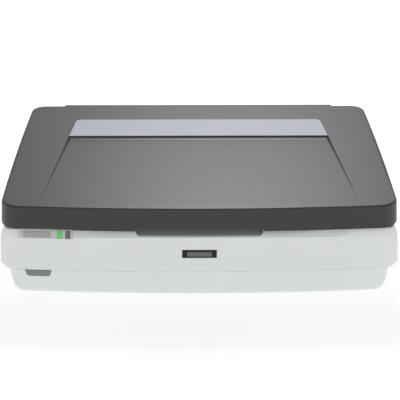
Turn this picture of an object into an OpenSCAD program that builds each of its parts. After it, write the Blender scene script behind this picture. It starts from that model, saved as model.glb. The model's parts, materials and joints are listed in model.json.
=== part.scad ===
// A3 flatbed scanner: a two-part case, a glass bed with a belt-driven carriage under it,
// and a hinged lid on two posts that lift for thick books.
// Millimetres, +Z up, front towards -Y. The origin is under the middle of the case, on the desk.

/* [Overall] */
// Greatest width, across the bottom of the upper case
body_w = 656; // [640:1:670]
// Greatest depth, from the front of the bow to the hinge cover
body_d = 458; // [450:1:470]
// Height from the desk to the top of the closed lid
body_h = 158; // [154:1:164]
// How far the front bows forward in the middle
front_bow = 14; // [8:0.5:18]
// How far each side bows outward in the middle
side_bow = 3; // [1:0.5:5]
// How much narrower the lid is than the case, on each side
lid_inset = 4.8; // [4:0.1:6]
// How far the lower edge of the front chamfer drops towards the corners
chamfer_drop = 6.5; // [4:0.5:8]

/* [Levels] */
// Height of the rubber feet
foot_h = 2; // [2:0.5:3]
// Height of the seam between the two halves of the case
seam_z = 44.5; // [42:0.5:46]
// Height of the flat deck round the glass
deck_z = 115.5; // [114:0.5:117]
// Gap between the deck and the rim of the closed lid
lid_gap = 2.5; // [2:0.5:3]
// Wall thickness of the mouldings
wall = 3; // [2.5:0.1:3.2]

/* [Bed] */
// Width of the visible glass
bed_w = 448; // [440:1:452]
// Depth of the visible glass
bed_d = 322; // [312:1:326]
// Glass thickness
glass_t = 4; // [3:0.5:4]

/* [Lid] */
// Depth of the step at the rear of the sunk top panel
recess_drop = 4; // [3:0.5:12]
// Depth of the pale trim plate, front to rear
trim_d = 79.5; // [60:0.5:84]
// Distance of each hinge from the centre line
hinge_x = 205; // [190:1:230]

/* [Drive] */
// Travel of the carriage
carriage_travel = 450; // [430:1:455]
// Radius of the steel guide rod
rod_r = 5; // [4:0.5:6]
// Radius of the belt pulleys
pulley_r = 8; // [7:0.5:9]

/* [Hidden] */

$fn = 32;
half_w = body_w / 2;
half_d = body_d / 2;
front_y = -half_d;
lid_z = deck_z + lid_gap;
lid_rear_y = half_d - 7;
case_rear_y = half_d - 7;
tray_rear_y = half_d - 13;
chamfer_z = deck_z - 8.5;
chamfer_in = 7.5;
flare_z = seam_z + 7.5;
case_draft = 4;
glass_top = deck_z - 2;
glass_bottom = glass_top - glass_t;
floor_z = foot_h + wall;
eps = 0.1;

corner_steps = 8;
side_steps = 6;
rear_steps = 2;
front_steps = 20;

plate_z = lid_z + 1.5;
plate_t = 2.5;
skin_z = body_h - wall;
recess_rear_y = 71;
recess_fillet = 10;
recess_flank = 0.8;
recess_front_y = -203;
recess_front_w = 256.5;
recess_taper = 0.0778;
trim_t = 1.5;
trim_top_gap = 0.4;
trim_corner = 10;
grip_half = 103;
notch_left = -291;
notch_right = -201;
cover_half = 257;

hinge_y = half_d - 10;
hinge_z = deck_z + 17.5;
pin_r = 3;
post_y = half_d - 28;
post_w = 30;
post_d = 12;
socket_bottom = 58;

carriage_w = 90;
carriage_d = 340;
carriage_x = -245;
carriage_bottom = 68;
carriage_top = 106;
rod_y = -150;
rod_z = 60;
rail_y = 150;
rail_top = 54;
belt_y = -120;
belt_z = 54;
belt_w = 6;
belt_t = 1.2;
pulley_x = 280;
board_z = 14;
boss_x = 286;
boss_y = 183;
board_t = 1.6;
button_x = -262.5;
panel_x = (notch_left + notch_right) / 2;
port_z = 23;
port_y = tray_rear_y - 8;
bay_left = -124;
bay_right = 150;
inlet_x = -100;
cable_turn_x = -262;
usb_x = 62;
option_x = 122;

function unit(x, lo, hi) = min(1, max(0, (x - lo) / (hi - lo)));
function arc(cx, cy, r, start) =
    [for (i = [0:corner_steps]) let (a = start + 90 * i / corner_steps) [cx + r * cos(a), cy + r * sin(a)]];
function run(a, b, steps) = [for (i = [1:steps - 1]) a + (b - a) * i / steps];
// The bows: the front swells forward in the middle, and the sides swell outward.
function bowed(p) = [
    p[0] * (1 - side_bow / half_w * pow(p[1] / half_d, 2)),
    p[1] + front_bow * pow(p[0] / half_w, 2) * unit(-p[1], -half_d, half_d)];
// Plan outline of a moulding, counter-clockwise from its front right corner.
function outline(hw, yf, yr, rf, rr) = [for (p = concat(
    arc(hw - rf, yf + rf, rf, -90),
    run([hw, yf + rf], [hw, yr - rr], side_steps),
    arc(hw - rr, yr - rr, rr, 0),
    run([hw - rr, yr], [rr - hw, yr], rear_steps),
    arc(rr - hw, yr - rr, rr, 90),
    run([-hw, yr - rr], [-hw, yf + rf], side_steps),
    arc(rf - hw, yf + rf, rf, 180),
    run([rf - hw, yf], [hw - rf, yf], front_steps))) bowed(p)];
function ring(z, side, front, rear, rear_y, rf, rr) = [
    for (p = outline(half_w - side, front_y + front, rear_y - rear, max(rf - side / 2, 5), max(rr - rear, 5)))
        [p[0], p[1], z]];
function lid_ring(z, inset) = ring(z, lid_inset + inset, inset * 0.6, inset * 0.6, lid_rear_y, 32, 25);
function case_ring(z, side, front, rear) = ring(z, side, 0.5 + front, rear, case_rear_y, 14, 18);
function tray_ring(z, side, front, rear) = ring(z, side, 1 + front, rear, tray_rear_y, 21, 18);
// The lower edge of the chamfer sinks towards the front corners.
function chamfer_low(x) = chamfer_z - chamfer_drop * pow(x / half_w, 2);
function sunk(points) = [for (p = points)
    [p[0], p[1], p[2] - chamfer_drop * pow(p[0] / half_w, 2) * unit(-p[1], -half_d, half_d)]];
function front_at(x, inset = 0) = front_y + inset + front_bow * pow(x / half_w, 2);
function front_angle(x) = atan(2 * front_bow * x / pow(half_w, 2));

// A closed solid through rings of points that run the same way round.
module loft(rings) {
    n = len(rings[0]);
    last = len(rings) - 1;
    polyhedron([for (r = rings) each r], concat(
        [[for (i = [0:n - 1]) i]],
        [[for (i = [n - 1:-1:0]) last * n + i]],
        [for (k = [0:last - 1], i = [0:n - 1]) let (j = (i + 1) % n)
            [k * n + i, (k + 1) * n + i, (k + 1) * n + j, k * n + j]]));
}

// A prism along X from a profile in Y and Z.
module along_x(x0, x1) {
    translate([x0, 0, 0]) rotate([90, 0, 90]) linear_extrude(x1 - x0) children();
}

// A prism along Y from a profile in X and Z.
module along_y(y0, y1) {
    translate([0, y1, 0]) rotate([90, 0, 0]) linear_extrude(y1 - y0) children();
}

module box(x0, x1, y0, y1, z0, z1) {
    translate([x0, y0, z0]) cube([x1 - x0, y1 - y0, z1 - z0]);
}

module rod_x(x0, x1, y, z, r) {
    translate([x0, y, z]) rotate([0, 90, 0]) cylinder(h = x1 - x0, r = r);
}

// Local X along the bowed front, local Y into the case.
module on_front(x, inset = 0) {
    translate([x, front_at(x, 0.5 + inset), 0]) rotate([0, 0, front_angle(x)]) children();
}

// Local X along the front, local Y up the slope of the chamfer, local Z out of it.
module on_chamfer(x) {
    on_front(x) translate([0, chamfer_in / 2, (chamfer_low(x) + deck_z) / 2])
        rotate([atan((deck_z - chamfer_low(x)) / chamfer_in), 0, 0]) children();
}

module both_hinges() {
    for (s = [-1, 1]) translate([s * hinge_x, 0, 0]) children();
}

module at_boss() {
    for (x = [-boss_x, boss_x], y = [-boss_y, boss_y]) translate([x, y, 0]) children();
}

module foot_places() {
    for (x = [-265, 265], y = [-170, 165]) translate([x, y, 0]) children();
}

module port_hole(x, w, h) {
    box(x - w, x + w, port_y - 10, port_y + 10, port_z - h, port_z + h);
}

/* ---- case ---- */

module button_profile(grow) {
    polygon(concat([[21.5 + grow, seam_z - 1 + grow], [-21.5 - grow, seam_z - 1 + grow]],
        arc(-15.5, 36.5, 3.5 + grow, 180), arc(15.5, 36.5, 3.5 + grow, 270)));
}

module tray_outer() {
    loft([tray_ring(foot_h, 33, 7.5, 20), tray_ring(foot_h + 0.8, 29, 3.5, 15), tray_ring(foot_h + 4, 24.5, 1.4, 10),
        tray_ring(foot_h + 9, 20.5, 0.4, 6), tray_ring(foot_h + 18, 18, 0.2, 4), tray_ring(seam_z - 6, 15, 0, 1.5),
        tray_ring(seam_z, 11.5, 0, 0)]);
}

module tray_inner() {
    loft([tray_ring(floor_z, 31, 7.5, 17), tray_ring(floor_z + 3.5, 25.5, 4.5, 11),
        tray_ring(foot_h + 18, 21, 3.2, 7), tray_ring(seam_z - 6, 18, 3, 4.5), tray_ring(seam_z + eps, 14.5, 3, 3)]);
}

module lower_case() {
    color("gainsboro") difference() {
        union() {
            difference() {
                tray_outer();
                tray_inner();
            }
            intersection() {
                tray_outer();
                box(bay_left - wall, bay_right + wall, port_y - wall, half_d, foot_h + 1, seam_z - 1);
            }
        }
        box(bay_left, bay_right, port_y, half_d, port_z - 14, port_z + 14);
        on_front(button_x) along_y(-4, 8) button_profile(0.5);
        port_hole(inlet_x, 14, 10.5);
        port_hole(usb_x, 6.5, 6);
        port_hole(option_x, 19.3, 6);
        box(-half_w, -298, 60, 90, 19.5, 28.5);
        at_boss() {
            translate([0, 0, foot_h - eps]) cylinder(h = 1.6 + eps, r = 4);
            cylinder(h = floor_z + 1, r = 1.8);
        }
    }
}

module hinge_openings(grow, z0, z1) {
    both_hinges() box(-post_w / 2 - grow, post_w / 2 + grow, post_y - post_d / 2 - grow,
        post_y + post_d / 2 + grow, z0, z1);
}

module grip_profile(drop) {
    polygon([[front_y + 2.6, chamfer_z + 2.2 - drop], [front_y + 25, deck_z - 4 - drop],
        [front_y + 25, deck_z + 10], [front_y - 5, deck_z + 10], [front_y - 5, chamfer_z + 2.2 - drop]]);
}

// Front view of the finger grip: wider at the top.
module grip_front(grow) {
    polygon([[-grip_half + 7 - grow, 60], [grip_half - 7 + grow, 60], [grip_half - 7 + grow, chamfer_z],
        [grip_half + grow, deck_z - 2], [grip_half + grow, 130], [-grip_half - grow, 130],
        [-grip_half - grow, deck_z - 2], [-grip_half + 7 - grow, chamfer_z]]);
}

module upper_shell() {
    difference() {
        loft([case_ring(seam_z, 9, 1, 6), case_ring(seam_z + 1, 8, 0.4, 5), case_ring(flare_z, 0, 0, 0),
            sunk(case_ring(chamfer_z, case_draft, 0, 1)),
            case_ring(deck_z - 0.8, case_draft + 6.8, 6.8, 7.5), case_ring(deck_z, case_draft + 8.3, 8.3, 9)]);
        loft([case_ring(seam_z - eps, 12, 4, 9), case_ring(flare_z, 3, 3, 3),
            sunk(case_ring(chamfer_z - 1, case_draft + 3, 3, 4)),
            case_ring(deck_z - 4, case_draft + 9, 8.8, 9.5)]);
    }
}

module upper_case() {
    color("gainsboro") {
        difference() {
            upper_shell();
            box(-bed_w / 2, bed_w / 2, -bed_d / 2, bed_d / 2, deck_z - 10, deck_z + 1);
            box(-bed_w / 2 - 8.3, bed_w / 2 + 8.3, -bed_d / 2 - 8.3, bed_d / 2 + 8.3, deck_z - 10, glass_top);
            hinge_openings(0.3, deck_z - 10, deck_z + 1);
            intersection() {
                along_x(-half_w, half_w) grip_profile(1.5);
                along_y(front_y - 10, front_y + 40) grip_front(0);
            }
            on_chamfer(panel_x) box(-43.5, 43.5, -8.4, 10, -1, 5);
            on_front(0) box(-28, 28, -2, 1, 70.5, 85.3);
        }
        grip_back();
        at_boss() difference() {
            translate([0, 0, floor_z + 0.1]) cylinder(h = 74, r = 5);
            cylinder(h = 30, r = 1.8);
        }
        for (s = [-1, 1], y = [-boss_y, boss_y]) scale([s, 1, 1])
            box(boss_x + 4, half_w - 6, y - 1.5, y + 1.5, seam_z + 16, floor_z + 74);
    }
}

// Wall behind and below the finger grip, which closes the case there.
module grip_back() {
    intersection() {
        along_x(-grip_half, grip_half) polygon([[front_y + 3, chamfer_z - 2.1], [front_y + 25, deck_z - 8.5],
            [front_y + 25, deck_z - 5.5], [front_y + 3, chamfer_z + 0.7]]);
        linear_extrude(deck_z) polygon(outline(half_w - 3, front_y + 3, case_rear_y - 3, 20, 20));
    }
    box(-grip_half, grip_half, front_y + 25, front_y + 28, deck_z - 8.5, deck_z - 3);
}

module document_glass() {
    color("lightcyan", 0.35) box(-bed_w / 2 - 8, bed_w / 2 + 8, -bed_d / 2 - 8, bed_d / 2 + 8,
        glass_bottom, glass_top);
}

module glass_clips() {
    color("silver") for (x = [-180, 0, 180], s = [-1, 1])
        translate([x, s * (bed_d / 2 + 11), glass_bottom]) mirror([0, s > 0 ? 1 : 0, 0]) difference() {
            box(-15, 15, -8, 9, -1.5, 0);
            translate([0, -4, -2]) cylinder(h = 3, r = 1.8);
        }
}

module calibration_strip() {
    color("white") box(-bed_w / 2 - 7, -bed_w / 2 + 4, -bed_d / 2, bed_d / 2, glass_bottom - 0.4, glass_bottom);
}

// A printed scale: a thin strip with a tick groove every 10 mm.
module ruler(length) {
    difference() {
        box(0, length, 0, 8, deck_z, deck_z + 0.4);
        for (x = [10:10:length - 5])
            box(x - 0.4, x + 0.4, 3, 9, deck_z + 0.2, deck_z + 1);
    }
}

module scale_front() {
    color("whitesmoke") translate([-bed_w / 2, -bed_d / 2 - 10, 0]) ruler(bed_w);
}

module scale_side() {
    color("whitesmoke") translate([-bed_w / 2 - 2, -bed_d / 2, 0]) rotate([0, 0, 90]) ruler(bed_d);
}

module grip_liner() {
    color("slategray") intersection() {
        along_x(-half_w, half_w) difference() {
            grip_profile(1.3);
            grip_profile(0);
            translate([front_y - 10, 90]) square([9.6, 40]);
        }
        along_y(front_y - 10, front_y + 40) grip_front(-0.2);
        linear_extrude(deck_z) polygon(outline(half_w - 1.5, front_y + 1.6, case_rear_y, 20, 20));
    }
}

module indicator_panel() {
    color("lightgray") on_chamfer(panel_x) difference() {
        box(-43.2, 43.2, -8.1, 7, -0.9, 0.5);
        translate([-15, 0, 0]) box(-22, 22, -6.4, 3.6, -0.1, 2);
        for (x = [21.6, 35]) translate([x, 0, 0]) lens_outline(0.2);
    }
}

module name_plate() {
    color("darkgray") on_chamfer(panel_x) translate([-15, 0, 0]) box(-21.7, 21.7, -6.1, 3.3, 0, 0.8);
}

module lens_outline(grow) {
    box(-4 - grow, 4 + grow, -7.4 - grow, 5.2 + grow, -0.8 - grow, 2);
}

module lens(x) {
    on_chamfer(panel_x) translate([x, 0, 0]) difference() {
        lens_outline(0);
        box(-9, 9, -9, 9, 1, 5);
    }
}

module ready_lens() {
    color("lime") lens(21.6);
}

module error_lens() {
    color("dimgray") lens(35);
}

module badge_plate() {
    color("black") on_front(0) difference() {
        box(-27.7, 27.7, -0.4, 0.9, 70.8, 85);
        box(-20, 20, -2, 0.2, 73, 81.5);
    }
}

module badge_inlay() {
    color("gray") on_front(0) box(-19.8, 19.8, -0.45, 0.15, 73.2, 81.3);
}

module power_button() {
    color("dimgray") on_front(button_x) {
        along_y(0.2, 7) button_profile(0);
        box(-3, 3, 7, 12, 36, 40);
    }
}

module button_switch() {
    color("seagreen") on_front(button_x) {
        box(-18, 18, 17.6, 19.2, floor_z, 43);
        box(-4, 4, 14.6, 17.6, 34, 42);
    }
}

module rubber_feet() {
    color("dimgray") foot_places() cylinder(h = foot_h, r = 11);
}

module case_screws() {
    color("silver") at_boss() translate([0, 0, foot_h]) {
        translate([0, 0, 0.1]) cylinder(h = 1.4, r = 3.6);
        cylinder(h = 20, r = 1.6);
    }
}

/* ---- ports on the rear ---- */

module power_inlet() {
    color("dimgray") translate([inlet_x, port_y, port_z]) difference() {
        union() {
            box(-17, 17, 0, 1.5, -13, 13);
            box(-13.7, 13.7, -22, 0, -10.2, 10.2);
        }
        box(-12, 12, -18, 5, -8, 8);
    }
}

module inlet_pins() {
    color("silver") for (p = [[-7, -2.5], [7, -2.5], [0, 2.5]])
        translate([inlet_x + p[0], port_y - 18, port_z + p[1]]) box(-1, 1, 0, 12, -2, 2);
}

// A metal socket shell with a blind mouth.
module socket_shell(x, w, h, depth) {
    translate([x, port_y, port_z]) difference() {
        box(-w, w, -depth - 3, 0.5, -h, h);
        box(1.2 - w, w - 1.2, -depth, 1, 1.2 - h, h - 1.2);
    }
}

module usb_port() {
    color("silver") socket_shell(usb_x, 6.2, 5.7, 12);
}

module option_port() {
    color("silver") socket_shell(option_x, 19, 5.7, 9);
}

module port_tongues() {
    color("white") translate([0, port_y, port_z]) {
        box(usb_x - 2.8, usb_x + 2.8, -12, -4, -1.6, 1.6);
        box(option_x - 14, option_x + 14, -9, -4, -1.4, 1.4);
    }
}

module transport_lock() {
    color("dimgray") {
        box(-312.8, -303.5, 63, 73, 20.2, 27.8);
        box(-304.8, -303, 55, 95, 17, 31);
    }
}

/* ---- electronics ---- */

module main_board() {
    color("seagreen") box(40, 190, 30, port_y - 5, board_z, board_z + board_t);
}

module power_board() {
    color("darkkhaki") box(-130, 10, 80, port_y - 23, board_z, board_z + board_t);
}

// The larger parts that stand on the two boards.
module board_parts() {
    color("darkgray") translate([0, 0, board_z + board_t]) {
        box(-90, -50, 100, 135, 0, 26);
        for (x = [-30, -10], y = [105, 130]) translate([x, y, 0]) cylinder(h = 22, r = 8);
        box(60, 95, 90, 125, 0, 2.5);
        box(120, 145, 80, 105, 0, 2);
        box(150, 180, 130, 160, 0, 7);
        box(46, 56, 36, 64, 0, 3);
    }
}

module board_posts() {
    color("goldenrod") {
        for (x = [46, 184], y = [70, 192]) translate([x, y, floor_z]) cylinder(h = board_z - floor_z, r = 3);
        for (x = [-124, 4], y = [86, 178]) translate([x, y, floor_z]) cylinder(h = board_z - floor_z, r = 3);
    }
}

// The flat cable lies over the floor, turns up and over, and ends under the carriage.
module flat_cable() {
    t = 0.6;
    low = board_z + board_t + 1.4;
    high = carriage_bottom - t;
    r = (high - low) / 2;
    color("white") {
        box(cable_turn_x, 46, 38, 62, low, low + t);
        box(cable_turn_x, carriage_x + 20, 38, 62, high, high + t);
        translate([cable_turn_x, 38, low + r + t / 2]) rotate([-90, 0, 0]) difference() {
            cylinder(h = 24, r = r + t / 2);
            translate([0, 0, -1]) cylinder(h = 26, r = r - t / 2);
            translate([0, -r - 1, -1]) cube([r + 2, 2 * r + 2, 26]);
        }
    }
}

/* ---- drive ---- */

module guide_rod() {
    color("silver") rod_x(-296, 296, rod_y, rod_z, rod_r);
}

module rod_clamps() {
    color("dimgray") for (x = [-293, 286]) difference() {
        box(x, x + 7, rod_y - 9, rod_y + 9, floor_z, rod_z + 7.5);
        rod_x(x - 1, x + 9, rod_y, rod_z, rod_r + 0.02);
    }
}

module slide_rail() {
    color("silver") box(-290, 290, rail_y - 6, rail_y + 6, rail_top - 2, rail_top);
}

module rail_posts() {
    color("dimgray") for (x = [-288, 282])
        box(x, x + 6, rail_y - 8, rail_y + 8, floor_z, rail_top - 2);
}

module stepper_motor() {
    color("dimgray") {
        translate([-pulley_x, belt_y, 10]) cylinder(h = 34, r = 20);
        translate([-pulley_x, belt_y, 44]) cylinder(h = belt_z + 10 - 44, r = 2.5);
        translate([-pulley_x, belt_y, floor_z]) cylinder(h = 10 - floor_z, r = 14);
    }
}

// A flanged pulley that turns on an upright shaft.
module pulley(bore) {
    rotate_extrude($fn = 48) polygon([[bore, -1.5], [pulley_r + 2, -1.5], [pulley_r + 2, -0.5],
        [pulley_r - 0.1, -0.5], [pulley_r - 0.1, belt_w + 0.5], [pulley_r + 2, belt_w + 0.5],
        [pulley_r + 2, belt_w + 1.5], [bore, belt_w + 1.5]]);
}

module drive_pulley() {
    color("whitesmoke") translate([-pulley_x, belt_y, belt_z]) pulley(2.55);
}

module idler_pulley() {
    color("whitesmoke") translate([pulley_x, belt_y, belt_z]) pulley(2.55);
}

module idler_bracket() {
    color("silver") {
        box(pulley_x - 12, pulley_x + 8, belt_y - 14, belt_y + 14, floor_z + 36, belt_z - 2.5);
        box(pulley_x - 12, pulley_x - 9, belt_y - 14, belt_y + 14, floor_z, belt_z - 2.5);
        translate([pulley_x, belt_y, belt_z - 3]) cylinder(h = belt_w + 6, r = 2.5);
    }
}

module belt_loop(r) {
    for (s = [-1, 1]) translate([s * pulley_x, belt_y]) circle(r = r, $fn = 64);
    translate([-pulley_x, belt_y - r]) square([2 * pulley_x, 2 * r]);
}

module drive_belt() {
    color("black") translate([0, 0, belt_z]) linear_extrude(belt_w) difference() {
        belt_loop(pulley_r + belt_t);
        belt_loop(pulley_r);
    }
}

/* ---- carriage ---- */

module carriage_frame() {
    color("dimgray") translate([carriage_x, 0, 0]) difference() {
        box(-45, 45, -170, 170, carriage_bottom, carriage_top);
        box(-42, 42, -167, 167, carriage_bottom + 3, carriage_top - 9);
        box(-3, 3, -160, 160, carriage_top - 12, carriage_top + 1);
        for (x = [-14, 14]) box(x - 5, x + 5, -163, 163, carriage_top - 7, carriage_top + 1);
        box(-30, 30, 60, 110, carriage_bottom - 1, carriage_bottom + 4);
    }
}

module carriage_lamps() {
    color("ivory") for (x = [-14, 14]) translate([carriage_x + x, -161, carriage_top - 3.7])
        rotate([-90, 0, 0]) cylinder(h = 322, r = 3);
}

module carriage_mirrors() {
    color("aliceblue") for (m = [[0, 76, 45], [-30, 84, -20], [30, 78, 20]])
        translate([carriage_x + m[0], -164, m[1]]) rotate([0, m[2], 0]) box(-6, 6, 0, 328, -1, 1);
}

module lens_barrel() {
    color("black") translate([carriage_x - 18, 0, 78]) rotate([0, 90, 0]) difference() {
        cylinder(h = 10, r = 6.5);
        translate([0, 0, -1]) cylinder(h = 3, r = 4.5);
    }
}

module sensor_board() {
    color("seagreen") box(carriage_x - 41.5, carriage_x - 40, -50, 50, carriage_bottom + 4, 95);
}

module rod_bushings() {
    color("goldenrod") for (x = [-38, 26]) translate([carriage_x + x, 0, 0]) difference() {
        box(0, 12, rod_y - 9, rod_y + 9, rod_z - 5, carriage_bottom);
        rod_x(-1, 13, rod_y, rod_z, rod_r + 0.05);
    }
}

module belt_clamp() {
    grip_y = belt_y - pulley_r - belt_t;
    color("dimgray") translate([carriage_x, 0, 0]) difference() {
        box(-12, 12, grip_y - 4, grip_y + 5, belt_z - 1, carriage_bottom);
        box(-13, 13, grip_y - 0.1, grip_y + belt_t + 0.1, belt_z - 2, belt_z + belt_w + 0.5);
    }
}

module slider_pad() {
    color("ivory") translate([carriage_x, rail_y, 0]) box(-10, 10, -5, 5, rail_top + 0.1, carriage_bottom);
}

/* ---- lid ---- */

// Plan of the sunk panel: the side walls spread a little towards the front.
// Outline of the sunk panel at one height: the side walls lean outward as they rise.
function recess_loop(z, grow) = let (lean = grow + recess_flank * (z - body_h),
    w0 = recess_front_w + lean,
    w1 = recess_front_w - recess_taper * (recess_rear_y - recess_front_y) + lean)
    [[w1, recess_rear_y + grow + 1, z], [-w1, recess_rear_y + grow + 1, z],
        [-w0, recess_front_y, z], [w0, recess_front_y, z]];

// Side view of the sunk panel: flush at the front and deepest at the rear.
module recess_side(drop, grow) {
    polygon(concat([[recess_front_y, body_h - drop]],
        [for (a = [0:15:90]) [recess_rear_y + grow - recess_fillet * (1 - sin(a)),
            body_h - drop - recess_drop * cos(a)]],
        [[recess_rear_y + grow, body_h + 5], [recess_front_y, body_h + 5]]));
}

module recess_wedge(drop, grow) {
    intersection() {
        along_x(-half_w, half_w) recess_side(drop, grow);
        loft([recess_loop(body_h - 9, grow), recess_loop(body_h + 6, grow)]);
    }
}

module trim_slot(gap, z0, z1) {
    y0 = recess_rear_y + trim_top_gap - gap;
    y1 = recess_rear_y + trim_d + gap;
    w0 = recess_front_w - recess_taper * (y0 - recess_front_y) + gap;
    w1 = recess_front_w - recess_taper * (y1 - recess_front_y) + gap;
    translate([0, 0, z0]) linear_extrude(z1 - z0) polygon(concat([[-w0, y0], [w0, y0]],
        arc(w1 - trim_corner, y1 - trim_corner, trim_corner, 0),
        arc(-w1 + trim_corner, y1 - trim_corner, trim_corner, 90)));
}

module hinge_cover() {
    along_x(-cover_half, cover_half) polygon([[lid_rear_y - 12, lid_z + 2], [half_d - 1, lid_z + 2], [half_d, lid_z + 3],
        [half_d, body_h - 4], [half_d - 1.2, body_h - 1.2], [half_d - 4, body_h], [lid_rear_y - 12, body_h]]);
}

module lid_outer() {
    loft(concat(
        [for (a = [0:30:90]) lid_ring(lid_z + 1.5 * (1 - cos(a)), 1.4 * (1 - sin(a)))],
        [for (a = [0:15:90]) lid_ring(body_h - 4.2 * (1 - sin(a)), 2.6 + 4.1 * (1 - cos(a)))]));
    hinge_cover();
}

module lid_top() {
    color("dimgray") difference() {
        lid_outer();
        difference() {
            union() {
                loft([lid_ring(lid_z - 1, 4), lid_ring(skin_z, 6.5)]);
                box(-cover_half + 3, cover_half - 3, lid_rear_y - 10, half_d - 3, lid_z - 1, skin_z);
            }
            recess_wedge(3, 3);
        }
        recess_wedge(0, 0);
        trim_slot(0, body_h - trim_t, body_h + 1);
        along_y(front_y - 10, front_y + 24) {
            polygon([[-grip_half - 4, lid_z - 2], [grip_half + 4, lid_z - 2], [grip_half - 2, lid_z + 4.5],
                [-grip_half + 2, lid_z + 4.5]]);
            polygon([[notch_left - 2, lid_z - 2], [notch_right + 2, lid_z - 2], [notch_right, lid_z + 3],
                [notch_left, lid_z + 3]]);
        }
        both_hinges() box(-22, 22, half_d - 16, half_d + 1, lid_z - 1, hinge_z + 9);
    }
}

module lid_trim_plate() {
    color("lavender") trim_slot(-0.3, body_h - trim_t, body_h);
}

module lid_underplate() {
    color("whitesmoke") difference() {
        translate([0, 0, plate_z]) linear_extrude(plate_t)
            polygon(outline(half_w - lid_inset - 7, front_y + 7, lid_rear_y - 7, 26, 18));
        box(-grip_half - 6, grip_half + 6, front_y - 1, front_y + 30, plate_z - 1, plate_z + 10);
        box(notch_left - 6, notch_right + 6, front_y - 1, front_y + 32, plate_z - 1, plate_z + 10);
        both_hinges() box(-24, 24, 190, half_d, plate_z - 1, plate_z + 10);
        at_lid_screws() translate([0, 0, plate_z - 1]) cylinder(h = 10, r = 1.8);
    }
}

module at_lid_screws() {
    for (x = [-300, -150, 150, 300], y = [-180, 180]) translate([x, y, 0]) children();
}

module lid_screws() {
    color("silver") at_lid_screws() {
        translate([0, 0, plate_z - 1.2]) cylinder(h = 1.2, r = 3.4);
        translate([0, 0, plate_z]) cylinder(h = plate_t + 6, r = 1.6);
    }
}

module document_mat() {
    color("white") box(-bed_w / 2 + 3, bed_w / 2 - 3, -bed_d / 2 + 3, bed_d / 2 - 4, glass_top + 0.3, plate_z);
}

module lid_bumpers() {
    color("dimgray") for (x = [-290, 290], y = [-150, 150])
        translate([x, y, deck_z + 0.2]) cylinder(h = plate_z - deck_z - 0.2, r = 6);
}

/* ---- hinges ---- */

module hinge_ear(x) {
    along_x(x, x + 3) difference() {
        union() {
            translate([hinge_y, hinge_z]) circle(r = 6.5);
            polygon([[hinge_y - 6.4, hinge_z - 1], [hinge_y + 6.4, hinge_z - 1], [hinge_y + 5, skin_z - 2],
                [hinge_y - 25, skin_z - 2]]);
        }
        translate([hinge_y, hinge_z]) circle(r = pin_r + 0.02);
    }
}

module hinge_brackets() {
    color("silver") both_hinges() {
        box(-20, 20, hinge_y - 45, hinge_y + 5, skin_z - 2.5, skin_z);
        hinge_ear(14);
        hinge_ear(-17);
    }
}

module hinge_pins() {
    color("gainsboro") both_hinges() {
        rod_x(-18.5, 18.5, hinge_y, hinge_z, pin_r);
        rod_x(18.5, 20, hinge_y, hinge_z, pin_r + 1.5);
    }
}

// A close-wound torsion spring, one bead for each turn.
module spring(x) {
    turns = 3;
    pitch = 1.1;
    translate([x, hinge_y, hinge_z]) rotate([0, 90, 0]) rotate_extrude() {
        for (i = [0:turns - 1]) translate([4.6, 0.6 + i * pitch]) circle(r = 0.6, $fn = 16);
        translate([4.2, 0.3]) square([0.5, pitch * (turns - 1) + 0.6]);
    }
}

module hinge_springs() {
    color("silver") both_hinges() {
        spring(10.3);
        spring(-13.7);
    }
}

module hinge_post() {
    top_y = post_y - post_d / 2;
    difference() {
        union() {
            box(-post_w / 2, post_w / 2, top_y, top_y + post_d, socket_bottom + 4, deck_z + 0.2);
            box(-post_w / 2 - 1.5, post_w / 2 + 1.5, top_y - 1.5, top_y + post_d + 1.5, deck_z + 0.2, deck_z + 3);
            along_x(-9.8, 9.8) {
                polygon([[top_y, deck_z + 3], [top_y + post_d, deck_z + 3], [hinge_y + 5.5, hinge_z - 4],
                    [hinge_y, hinge_z + 7], [top_y + 2, hinge_z]]);
                translate([hinge_y, hinge_z]) circle(r = 7);
            }
        }
        rod_x(-12, 12, hinge_y, hinge_z, pin_r + 0.05);
    }
}

module hinge_post_left() {
    color("dimgray") translate([-hinge_x, 0, 0]) hinge_post();
}

module hinge_post_right() {
    color("dimgray") translate([hinge_x, 0, 0]) hinge_post();
}

module hinge_sockets() {
    color("darkgray") both_hinges() difference() {
        box(-18.5, 18.5, post_y - 9, post_y + 9, socket_bottom, deck_z - 4);
        box(-post_w / 2 - 0.3, post_w / 2 + 0.3, post_y - post_d / 2 - 0.3, post_y + post_d / 2 + 0.3,
            socket_bottom + 3, deck_z);
    }
}

lower_case();
upper_case();
document_glass();
glass_clips();
calibration_strip();
scale_front();
scale_side();
grip_liner();
indicator_panel();
name_plate();
ready_lens();
error_lens();
badge_plate();
badge_inlay();
power_button();
button_switch();
rubber_feet();
case_screws();
power_inlet();
inlet_pins();
usb_port();
option_port();
port_tongues();
transport_lock();
main_board();
power_board();
board_parts();
board_posts();
flat_cable();
guide_rod();
rod_clamps();
slide_rail();
rail_posts();
stepper_motor();
drive_pulley();
idler_pulley();
idler_bracket();
drive_belt();
carriage_frame();
carriage_lamps();
carriage_mirrors();
lens_barrel();
sensor_board();
rod_bushings();
belt_clamp();
slider_pad();
lid_top();
lid_trim_plate();
lid_underplate();
document_mat();
lid_bumpers();
lid_screws();
hinge_brackets();
hinge_pins();
hinge_springs();
hinge_post_left();
hinge_post_right();
hinge_sockets();
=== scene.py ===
import json
import math

import bmesh
import bpy
from mathutils import Matrix, Vector


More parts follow.
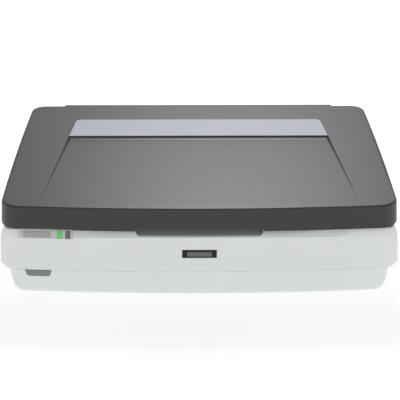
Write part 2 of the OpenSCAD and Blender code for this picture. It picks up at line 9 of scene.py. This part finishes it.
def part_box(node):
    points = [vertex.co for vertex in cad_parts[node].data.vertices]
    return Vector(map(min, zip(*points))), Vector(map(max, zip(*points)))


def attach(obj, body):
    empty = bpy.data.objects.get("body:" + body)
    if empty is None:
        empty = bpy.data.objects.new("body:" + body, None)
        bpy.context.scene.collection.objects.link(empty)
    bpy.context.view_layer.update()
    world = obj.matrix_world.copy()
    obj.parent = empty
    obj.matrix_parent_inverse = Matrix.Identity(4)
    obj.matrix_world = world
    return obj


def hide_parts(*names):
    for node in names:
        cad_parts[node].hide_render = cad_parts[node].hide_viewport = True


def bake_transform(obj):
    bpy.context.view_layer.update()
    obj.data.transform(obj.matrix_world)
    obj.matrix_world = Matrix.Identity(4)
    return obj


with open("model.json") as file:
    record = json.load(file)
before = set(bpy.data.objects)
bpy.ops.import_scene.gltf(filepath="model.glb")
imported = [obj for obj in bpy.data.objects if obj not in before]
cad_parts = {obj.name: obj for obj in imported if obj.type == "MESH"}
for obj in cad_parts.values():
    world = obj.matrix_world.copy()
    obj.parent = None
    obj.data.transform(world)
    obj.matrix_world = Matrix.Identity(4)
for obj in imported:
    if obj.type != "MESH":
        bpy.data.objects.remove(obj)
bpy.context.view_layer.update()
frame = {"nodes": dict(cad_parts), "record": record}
nodes = frame["nodes"]
record = frame["record"]
MM = 0.001
scene = bpy.context.scene


# ---- camera ----

ELEVATION = math.radians(25.63)
YAW = math.radians(0.31)
DISTANCE = 2.035
AIM = Vector((0.0, 0.0003, 0.079))
LENS = 102.4
SENSOR = 36.0
SHIFT = (0.0032, -0.0205)
CLIP = (0.05, 50.0)

camera_data = bpy.data.cameras.new("camera")
camera_data.lens = LENS
camera_data.sensor_width = SENSOR
camera_data.shift_x, camera_data.shift_y = SHIFT
camera = bpy.data.objects.new("camera", camera_data)
scene.collection.objects.link(camera)
towards = Matrix.Rotation(-YAW, 3, "Z") @ Vector((0.0, -math.cos(ELEVATION), math.sin(ELEVATION)))
camera.location = AIM + towards * DISTANCE
camera.rotation_mode = "QUATERNION"
camera.rotation_quaternion = (-towards).to_track_quat("-Z", "Y")
camera_data.clip_start, camera_data.clip_end = CLIP
scene.camera = camera
scene.view_settings.view_transform = "Standard"
scene.view_settings.look = "None"


# ---- materials ----

# Most values of a noise texture lie between these two.
NOISE_LOW, NOISE_HIGH = 0.3, 0.7
# Period in metres of a banded wave texture at scale 1.
WAVE_PERIOD = 0.314


class Graph:
    """A node tree under construction."""

    def __init__(self, name):
        self.material = bpy.data.materials.new(name)
        self.material.use_nodes = True
        self.tree = self.material.node_tree
        self.shader = self.tree.nodes["Principled BSDF"]
        self.place = self.add("ShaderNodeTexCoord").outputs["Object"]

    def add(self, kind, **values):
        node = self.tree.nodes.new(kind)
        for key, value in values.items():
            setattr(node, key, value)
        return node

    def link(self, a, b):
        self.tree.links.new(a, b)

    def noise(self, scale, detail=2.0, roughness=0.5, stretch=(1, 1, 1)):
        source = self.place
        if tuple(stretch) != (1, 1, 1):
            mapping = self.add("ShaderNodeMapping")
            mapping.inputs["Scale"].default_value = stretch
            self.link(source, mapping.inputs["Vector"])
            source = mapping.outputs["Vector"]
        node = self.add("ShaderNodeTexNoise")
        node.inputs["Scale"].default_value = scale
        node.inputs["Detail"].default_value = detail
        node.inputs["Roughness"].default_value = roughness
        self.link(source, node.inputs["Vector"])
        return node.outputs["Fac"]

    def spread(self, source, low, high):
        """Stretches a noise over the range from low to high."""
        node = self.add("ShaderNodeMapRange")
        node.inputs["From Min"].default_value = NOISE_LOW
        node.inputs["From Max"].default_value = NOISE_HIGH
        node.inputs["To Min"].default_value = low
        node.inputs["To Max"].default_value = high
        self.link(source, node.inputs["Value"])
        return node.outputs["Result"]

    def tint(self, source, dark, light):
        """Mixes two colours; the colour sockets of the mix node can only be told apart by number."""
        node = self.add("ShaderNodeMix", data_type="RGBA")
        node.inputs[6].default_value = (*dark, 1.0)
        node.inputs[7].default_value = (*light, 1.0)
        self.link(source, node.inputs[0])
        return node.outputs[2]

    def bump(self, source, depth):
        node = self.add("ShaderNodeBump")
        node.inputs["Distance"].default_value = depth
        node.inputs["Strength"].default_value = 1.0
        self.link(source, node.inputs["Height"])
        self.link(node.outputs["Normal"], self.shader.inputs["Normal"])


def shade(colour, factor):
    return tuple(min(1.0, c * factor) for c in colour)


def moulded(name, colour, rough=0.42, grain=1400.0, depth=0.00006, vary=0.05, specular=0.5,
            wander=0.015):
    """Injection-moulded plastic: a fine spark texture and a slow drift in colour and gloss.

    vary is the share by which the colour drifts, and wander how far the roughness does."""
    g = Graph(name)
    drift = g.spread(g.noise(9.0, 3.0), 0.0, 1.0)
    g.link(g.tint(drift, shade(colour, 1 - vary), shade(colour, 1 + vary)), g.shader.inputs["Base Color"])
    g.link(g.spread(g.noise(40.0, 2.0), rough - wander, rough + wander), g.shader.inputs["Roughness"])
    g.shader.inputs["Specular IOR Level"].default_value = specular
    g.bump(g.noise(grain, 2.0, 0.6), depth)
    return g.material


def metal(name, colour, rough=0.3, stretch=(1, 1, 1), scale=900.0, depth=0.00002):
    """Metal with a drawn or brushed grain along one axis."""
    g = Graph(name)
    grain = g.noise(scale, 3.0, 0.6, stretch)
    tone = g.tint(g.spread(grain, 0.0, 1.0), shade(colour, 0.9), shade(colour, 1.06))
    g.link(tone, g.shader.inputs["Base Color"])
    g.link(g.spread(grain, rough - 0.06, rough + 0.08), g.shader.inputs["Roughness"])
    g.shader.inputs["Metallic"].default_value = 1.0
    g.bump(grain, depth)
    return g.material


def rubber(name, colour):
    g = Graph(name)
    g.link(g.tint(g.noise(90.0, 4.0), shade(colour, 0.8), shade(colour, 1.3)), g.shader.inputs["Base Color"])
    g.link(g.spread(g.noise(200.0, 3.0), 0.62, 0.8), g.shader.inputs["Roughness"])
    g.bump(g.noise(700.0, 3.0), 0.0001)
    return g.material


def lens(name, colour, glow=0.0):
    g = Graph(name)
    cloud = g.spread(g.noise(300.0, 2.0), 0.0, 1.0)
    tone = g.tint(cloud, shade(colour, 0.88), shade(colour, 1.1))
    g.link(tone, g.shader.inputs["Base Color"])
    g.link(g.spread(g.noise(500.0), 0.16, 0.24), g.shader.inputs["Roughness"])
    g.shader.inputs["Coat Weight"].default_value = 0.5
    if glow:
        g.link(tone, g.shader.inputs["Emission Color"])
        g.shader.inputs["Emission Strength"].default_value = glow
    return g.material


def clear_glass(name):
    g = Graph(name)
    g.link(g.tint(g.noise(4.0), (0.86, 0.95, 0.92), (0.90, 0.97, 0.95)), g.shader.inputs["Base Color"])
    g.link(g.spread(g.noise(12.0, 4.0), 0.0, 0.02), g.shader.inputs["Roughness"])
    g.shader.inputs["Transmission Weight"].default_value = 1.0
    g.shader.inputs["IOR"].default_value = 1.5
    return g.material


def foam(name, colour):
    """Closed-cell foam under a thin skin: small pores and a faint mottle."""
    g = Graph(name)
    mottle = g.tint(g.noise(35.0, 4.0), shade(colour, 0.96), shade(colour, 1.02))
    g.link(mottle, g.shader.inputs["Base Color"])
    g.link(g.spread(g.noise(150.0, 3.0), 0.7, 0.85), g.shader.inputs["Roughness"])
    g.shader.inputs["Sheen Weight"].default_value = 0.25
    pores = g.add("ShaderNodeTexVoronoi")
    pores.inputs["Scale"].default_value = 650.0
    g.link(g.place, pores.inputs["Vector"])
    g.bump(pores.outputs["Distance"], 0.00015)
    return g.material


def laminate(name, colour, track):
    """Circuit board: solder mask over square-cornered tracks."""
    g = Graph(name)
    cells = g.add("ShaderNodeTexBrick", offset=0.5, squash=0.7, squash_frequency=3)
    cells.inputs["Scale"].default_value = 90.0
    cells.inputs["Mortar Size"].default_value = 0.035
    cells.inputs["Mortar Smooth"].default_value = 0.1
    cells.inputs["Color1"].default_value = (*colour, 1.0)
    cells.inputs["Color2"].default_value = (*shade(colour, 1.25), 1.0)
    cells.inputs["Mortar"].default_value = (*track, 1.0)
    g.link(g.place, cells.inputs["Vector"])
    g.link(cells.outputs["Color"], g.shader.inputs["Base Color"])
    g.link(g.spread(g.noise(120.0, 3.0), 0.25, 0.4), g.shader.inputs["Roughness"])
    g.bump(cells.outputs["Fac"], 0.00004)
    return g.material


def ribbed(name, colour, pitch, axis):
    """Film cable or toothed belt: even ridges across one axis."""
    g = Graph(name)
    wave = g.add("ShaderNodeTexWave", wave_type="BANDS", bands_direction=axis, wave_profile="SIN")
    wave.inputs["Scale"].default_value = WAVE_PERIOD / pitch
    g.link(g.place, wave.inputs["Vector"])
    tone = g.tint(wave.outputs["Fac"], shade(colour, 0.82), shade(colour, 1.05))
    g.link(tone, g.shader.inputs["Base Color"])
    g.link(g.spread(g.noise(200.0), 0.35, 0.5), g.shader.inputs["Roughness"])
    g.bump(wave.outputs["Fac"], 0.0002)
    return g.material


materials = {
    "shell_dark": moulded("dark_shell", (0.0095, 0.0095, 0.0100), rough=0.44, specular=0.6, depth=0.00004,
                          vary=0.03, wander=0.006),
    "shell_light": moulded("light_shell", (0.70, 0.725, 0.72), rough=0.45, vary=0.012),
    "tray_light": moulded("light_tray", (0.72, 0.755, 0.755), rough=0.45, vary=0.012),
    "trim_pale": moulded("pale_trim", (0.395, 0.405, 0.462), rough=0.46, depth=0.00003, vary=0.01,
                         wander=0.006),
    # The finger-pocket liner is a grey part; its grey is partly painted shade of the pocket under the lid's
    # front edge.
    "grip_grey": moulded("grip_grey", (0.56, 0.595, 0.59), rough=0.5, vary=0.03),
    "panel_grey": moulded("panel_grey", (0.58, 0.61, 0.61), rough=0.4, vary=0.02),
    "plate_grey": moulded("plate_grey", (0.42, 0.42, 0.395), rough=0.4, vary=0.04),
    "lens_green": lens("green_lens", (0.09, 0.50, 0.10), glow=0.28),
    "lens_grey": lens("grey_lens", (0.16, 0.145, 0.145)),
    "badge_black": moulded("badge_black", (0.006, 0.0055, 0.006), rough=0.3, depth=0.00001, vary=0.1,
                           specular=0.3),
    "badge_metal": metal("badge_metal", (0.155, 0.155, 0.16), rough=0.4, stretch=(0.05, 1, 1)),
    "button_grey": moulded("button_grey", (0.19, 0.205, 0.20), rough=0.45, vary=0.04),
    "foam_white": foam("foam_white", (0.84, 0.84, 0.83)),
    "sheet_white": moulded("sheet_white", (0.70, 0.70, 0.69), rough=0.5, vary=0.015),
    "glass": clear_glass("clear_glass"),
    "rubber": rubber("rubber", (0.06, 0.06, 0.06)),
    "black_plastic": moulded("black_plastic", (0.03, 0.03, 0.032), rough=0.5, vary=0.12),
    "steel": metal("steel", (0.56, 0.57, 0.58), rough=0.32, stretch=(0.1, 1, 1)),
    "rod_steel": metal("rod_steel", (0.75, 0.75, 0.76), rough=0.14, stretch=(1, 12, 12), scale=60.0),
    "motor_metal": moulded("motor_metal", (0.05, 0.05, 0.055), rough=0.3, grain=500.0),
    "brass": metal("brass", (0.72, 0.55, 0.25), rough=0.28),
    "white_plastic": moulded("white_plastic", (0.80, 0.80, 0.78), rough=0.45, vary=0.02),
    "board_green": laminate("board_green", (0.02, 0.16, 0.07), (0.03, 0.28, 0.12)),
    "board_tan": laminate("board_tan", (0.36, 0.26, 0.12), (0.48, 0.36, 0.18)),
    "chip_dark": moulded("chip_dark", (0.045, 0.045, 0.05), rough=0.55, vary=0.15),
    "belt_black": ribbed("belt_black", (0.025, 0.025, 0.025), 0.004, "X"),
    "mirror": metal("mirror", (0.92, 0.93, 0.93), rough=0.07, depth=0.000002),
    "lamp_white": lens("lamp_white", (0.86, 0.86, 0.83)),
    "cable_grey": ribbed("cable_grey", (0.66, 0.68, 0.71), 0.00127, "Y"),
}
slot_of = {entry["node"]: entry["material_slot"] for entry in record["subparts"]}


# ---- carried-over CAD nodes: softened edges and a material each ----

# Widths of the rounded edges, in mm.
SOFT_EDGE = {"lid_top": 1.0, "upper_case": 0.7, "lower_case": 0.7, "lid_trim_plate": 0.25,
             "badge_plate": 0.9, "power_button": 0.5, "grip_liner": 0.4, "document_glass": 0.6,
             "lid_underplate": 0.4, "hinge_brackets": 0.4, "hinge_post_left": 0.6, "hinge_post_right": 0.6,
             "carriage_frame": 0.8}
THIN = {"scale_front", "scale_side", "calibration_strip", "glass_clips", "badge_inlay", "name_plate",
        "inlet_pins", "sensor_board", "main_board", "power_board", "lid_screws", "case_screws", "usb_port",
        "option_port"}
THIN_EDGE = 0.12
PLAIN_EDGE = 0.3
# Joining the facets of a face with openings in it would close them.
WINDOWED = {"indicator_panel"}
SAME_POINT = 0.01 * MM
SAME_FACE = math.radians(0.6)
REAL_EDGE = math.radians(32)
EDGE_SEGMENTS = 2
FACE_WEIGHT = 80


def set_material(obj, material):
    obj.data.materials.clear()
    obj.data.materials.append(material)


def soften(obj, width):
    """Joins the facets of each flat face, rounds the real edges, and shades by face size."""
    for polygon in obj.data.polygons:
        polygon.use_smooth = True
    if "custom_normal" in obj.data.attributes:
        obj.data.attributes.remove(obj.data.attributes["custom_normal"])
    weld = obj.modifiers.new("weld", "WELD")
    weld.merge_threshold = SAME_POINT
    if obj.name not in WINDOWED:
        flat = obj.modifiers.new("flat", "DECIMATE")
        flat.decimate_type = "DISSOLVE"
        flat.angle_limit = SAME_FACE
    bevel = obj.modifiers.new("bevel", "BEVEL")
    bevel.width = width * MM
    bevel.segments = EDGE_SEGMENTS
    bevel.limit_method = "ANGLE"
    bevel.angle_limit = REAL_EDGE
    bevel.use_clamp_overlap = True
    normal = obj.modifiers.new("normal", "WEIGHTED_NORMAL")
    normal.keep_sharp = False
    normal.weight = FACE_WEIGHT


for name, node in nodes.items():
    set_material(node, materials[slot_of[name]])
    soften(node, SOFT_EDGE.get(name, THIN_EDGE if name in THIN else PLAIN_EDGE))


# ---- pieces modelled here ----

def new_piece(name, shape, slot):
    """A mesh object from a bmesh, with its slot's material and smooth faces."""
    bmesh.ops.recalc_face_normals(shape, faces=shape.faces)
    mesh = bpy.data.meshes.new(name)
    shape.to_mesh(mesh)
    shape.free()
    for polygon in mesh.polygons:
        polygon.use_smooth = True
    obj = bpy.data.objects.new(name, mesh)
    scene.collection.objects.link(obj)
    set_material(obj, materials[slot])
    return obj


def skin(shape, loops):
    """Quads between closed loops of vertices, one after the other."""
    for a, b in zip(loops, loops[1:]):
        for i in range(len(a)):
            j = (i + 1) % len(a)
            shape.faces.new((a[i], a[j], b[j], b[i]))


CORNER_STEPS = 6
RIM_STEPS = 8
FACE_ROWS = 20
RIM_ROLL = 0.9  # how far the rim rolls in, as a share of half the thickness
SWELL = 0.14  # height of the low waves in the faces, as a share of half the thickness
WAVES = 3
LEAST_CORNER = 0.3 * MM


def cushion(low, high, corner):
    """A thin foam slab: rounded plan, rolled rims, and faces with a few low waves."""
    shape = bmesh.new()
    middle, half = (low + high) / 2, (high - low) / 2

    def loop(inset, z):
        r = max(corner - inset, LEAST_CORNER)
        points = []
        for k, (sx, sy) in enumerate(((1, 1), (-1, 1), (-1, -1), (1, -1))):
            x, y = middle.x + sx * (half.x - inset - r), middle.y + sy * (half.y - inset - r)
            for i in range(CORNER_STEPS + 1):
                a = math.radians(90 * k + 90 * i / CORNER_STEPS)
                points.append(shape.verts.new((x + r * math.cos(a), y + r * math.sin(a), z)))
        return points

    rim = []
    for i in range(RIM_STEPS + 1):
        a = math.radians(-90 + 180 * i / RIM_STEPS)
        rim.append(loop(half.z * RIM_ROLL * (1 - math.cos(a)), middle.z + half.z * math.sin(a)))
    skin(shape, rim)
    for edge, side in ((rim[0], 1), (rim[-1], -1)):
        loops = [edge]
        for row in range(1, FACE_ROWS):
            t = row / FACE_ROWS
            dip = side * half.z * SWELL * math.sin(math.pi * WAVES * t) ** 2
            loops.append([shape.verts.new((middle.x + (v.co.x - middle.x) * (1 - t),
                                           middle.y + (v.co.y - middle.y) * (1 - t),
                                           v.co.z + dip)) for v in edge])
        skin(shape, loops)
        shape.faces.new(loops[-1])
    return shape


POINTS_PER_CORE = 4
# Half the strip's thickness between the cores, and how much more there is over them, as shares of it.
WEB, RIDGE = 0.32, 0.18


def film_strip(spine, y0, y1, cores, thick):
    """A flat strip swept along spine, with one low round ridge for each core on both faces."""
    shape = bmesh.new()
    across = POINTS_PER_CORE * cores
    points = [Vector((x, 0, z)) for x, z in spine]
    loops = []
    for k, p in enumerate(points):
        along = (points[min(k + 1, len(points) - 1)] - points[max(k - 1, 0)]).normalized()
        out = Vector((-along.z, 0, along.x))
        loop = []
        for side in (1, -1):
            for i in range(across + 1):
                t = i / across if side > 0 else 1 - i / across
                share = WEB + RIDGE * abs(math.sin(math.pi * cores * t))
                q = p + out * side * thick * share
                loop.append(shape.verts.new((q.x, y0 + (y1 - y0) * t, q.z)))
        loops.append(loop)
    skin(shape, loops)
    shape.faces.new(loops[0])
    shape.faces.new(loops[-1])
    return shape


# Sizes of the chip leads, in mm; the margin is the bare length of each side of the chip.
LEAD_PITCH = 1.6
LEAD_HALF_WIDTH = 0.3
LEAD_HALF_THICKNESS = 0.14
LEAD_MARGIN = 3


def gull_wing(shape, root, out, side, rise):
    """One flat chip lead: out of the body, down to the board and out again along it."""
    loops = []
    for reach, height in ((-0.3, rise), (0.7, rise), (1.1, rise * 0.8), (1.5, 0.25), (1.9, 0.15),
                          (2.8, 0.15)):
        at = root + out * reach * MM + Vector((0, 0, height * MM))
        loops.append([shape.verts.new(at + side * a * LEAD_HALF_WIDTH * MM
                                      + Vector((0, 0, b * LEAD_HALF_THICKNESS * MM)))
                      for a, b in ((-1, -1), (1, -1), (1, 1), (-1, 1))])
    skin(shape, loops)
    shape.faces.new(loops[0])
    shape.faces.new(loops[-1])


def chip_leads(chips, board_top):
    """Leads on all four sides of square chips."""
    shape = bmesh.new()
    along_x, along_y = Vector((1, 0, 0)), Vector((0, 1, 0))
    for x, y, half, rise in chips:
        count = int((2 * half - LEAD_MARGIN) / LEAD_PITCH)
        middle = Vector((x * MM, y * MM, board_top))
        for out, side in ((along_x, along_y), (along_y, -along_x), (-along_x, -along_y), (-along_y, along_x)):
            for i in range(count + 1):
                root = middle + out * half * MM + side * (i - count / 2) * LEAD_PITCH * MM
                gull_wing(shape, root, out, side, rise)
    return shape


# x, y, half width and lead height of the chips on the main board, in mm.
CHIPS = ((77.5, 107.5, 17.5, 1.2), (132.5, 92.5, 12.5, 1.0))
leads = new_piece("chip_leads", chip_leads(CHIPS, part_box("main_board")[1].z), "steel")
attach(leads, "case")

MAT_CORNER = 9 * MM
mat_low, mat_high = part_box("document_mat")
foam_mat = new_piece("foam_mat", cushion(mat_low, mat_high, MAT_CORNER), "foam_white")
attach(foam_mat, "lid")
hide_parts("document_mat")

# The film cable runs left from the board, turns up and comes back to the carriage.
FILM = 0.6 * MM
CORES = 18
CARRIAGE_REACH = 65 * MM  # from the left end of the carriage to the end of the cable
FLOOR_STEPS, TURN_STEPS, TOP_STEPS = 60, 40, 12
cable_low, cable_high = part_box("flat_cable")
turn = (cable_high.z - cable_low.z - FILM) / 2
turn_x = cable_low.x + turn + FILM / 2
home_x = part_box("carriage_frame")[0].x + CARRIAGE_REACH
bottom_z = cable_low.z + FILM / 2
film_path = [(cable_high.x + (turn_x - cable_high.x) * i / FLOOR_STEPS, bottom_z) for i in range(FLOOR_STEPS)]
film_path += [(turn_x - turn * math.sin(math.pi * i / TURN_STEPS),
               bottom_z + turn - turn * math.cos(math.pi * i / TURN_STEPS)) for i in range(TURN_STEPS + 1)]
film_path += [(turn_x + (home_x - turn_x) * i / TOP_STEPS, bottom_z + 2 * turn)
              for i in range(1, TOP_STEPS + 1)]
film_cable = new_piece("film_cable", film_strip(film_path, cable_low.y, cable_high.y, CORES, FILM),
                       "cable_grey")
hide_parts("flat_cable")
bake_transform(film_cable)


# ---- light, floor and backdrop ----

world = bpy.data.worlds.new("studio")
world.use_nodes = True
scene.world = world
sky = world.node_tree
background = sky.nodes["Background"]
# White near the horizon and dimmer overhead, fading between two heights of the view direction.
FADE_FROM, FADE_TO = 0.12, 0.32
HORIZON, OVERHEAD = 1.0, 0.60
direction = sky.nodes.new("ShaderNodeTexCoord")
height = sky.nodes.new("ShaderNodeSeparateXYZ")
fade = sky.nodes.new("ShaderNodeMapRange")
fade.interpolation_type = "SMOOTHSTEP"
fade.inputs["From Min"].default_value = FADE_FROM
fade.inputs["From Max"].default_value = FADE_TO
fade.inputs["To Min"].default_value = HORIZON
fade.inputs["To Max"].default_value = OVERHEAD
sky.links.new(direction.outputs["Generated"], height.inputs["Vector"])
sky.links.new(height.outputs["Z"], fade.inputs["Value"])
sky.links.new(fade.outputs["Result"], background.inputs["Strength"])
background.inputs["Color"].default_value = (1.0, 1.0, 1.0, 1.0)


def area_light(name, place, aim, size, power):
    """A rectangular light facing the point aim; lengths in metres, power in watts."""
    data = bpy.data.lights.new(name, "AREA")
    data.shape = "RECTANGLE"
    data.size, data.size_y = size
    data.energy = power
    obj = bpy.data.objects.new(name, data)
    scene.collection.objects.link(obj)
    obj.location = place
    obj.rotation_mode = "QUATERNION"
    obj.rotation_quaternion = (Vector(aim) - Vector(place)).to_track_quat("-Z", "Y")


area_light("back_softbox", (0.14, 2.25, 2.15), (0.03, -0.08, 0.16), (0.9, 0.9), 36.0)
area_light("front_fill", (0.0, -2.6, 0.5), (0.0, 0.0, 0.08), (2.4, 1.0), 4.5)

FLOOR_HALF_SIZE = 12.0
FLOOR_GLOW = 0.36
floor_mesh = bpy.data.meshes.new("floor")
shape = bmesh.new()
bmesh.ops.create_grid(shape, x_segments=1, y_segments=1, size=FLOOR_HALF_SIZE)
shape.to_mesh(floor_mesh)
shape.free()
floor = bpy.data.objects.new("floor", floor_mesh)
scene.collection.objects.link(floor)
floor_graph = Graph("pale_floor")
floor_graph.link(floor_graph.tint(floor_graph.noise(2.0), (0.93, 0.93, 0.93), (0.95, 0.95, 0.95)),
                 floor_graph.shader.inputs["Base Color"])
floor_graph.shader.inputs["Roughness"].default_value = 0.9
floor_graph.shader.inputs["Emission Color"].default_value = (1.0, 1.0, 1.0, 1.0)
floor_graph.shader.inputs["Emission Strength"].default_value = FLOOR_GLOW
floor_graph.shader.inputs["Specular IOR Level"].default_value = 0.1
set_material(floor, floor_graph.material)
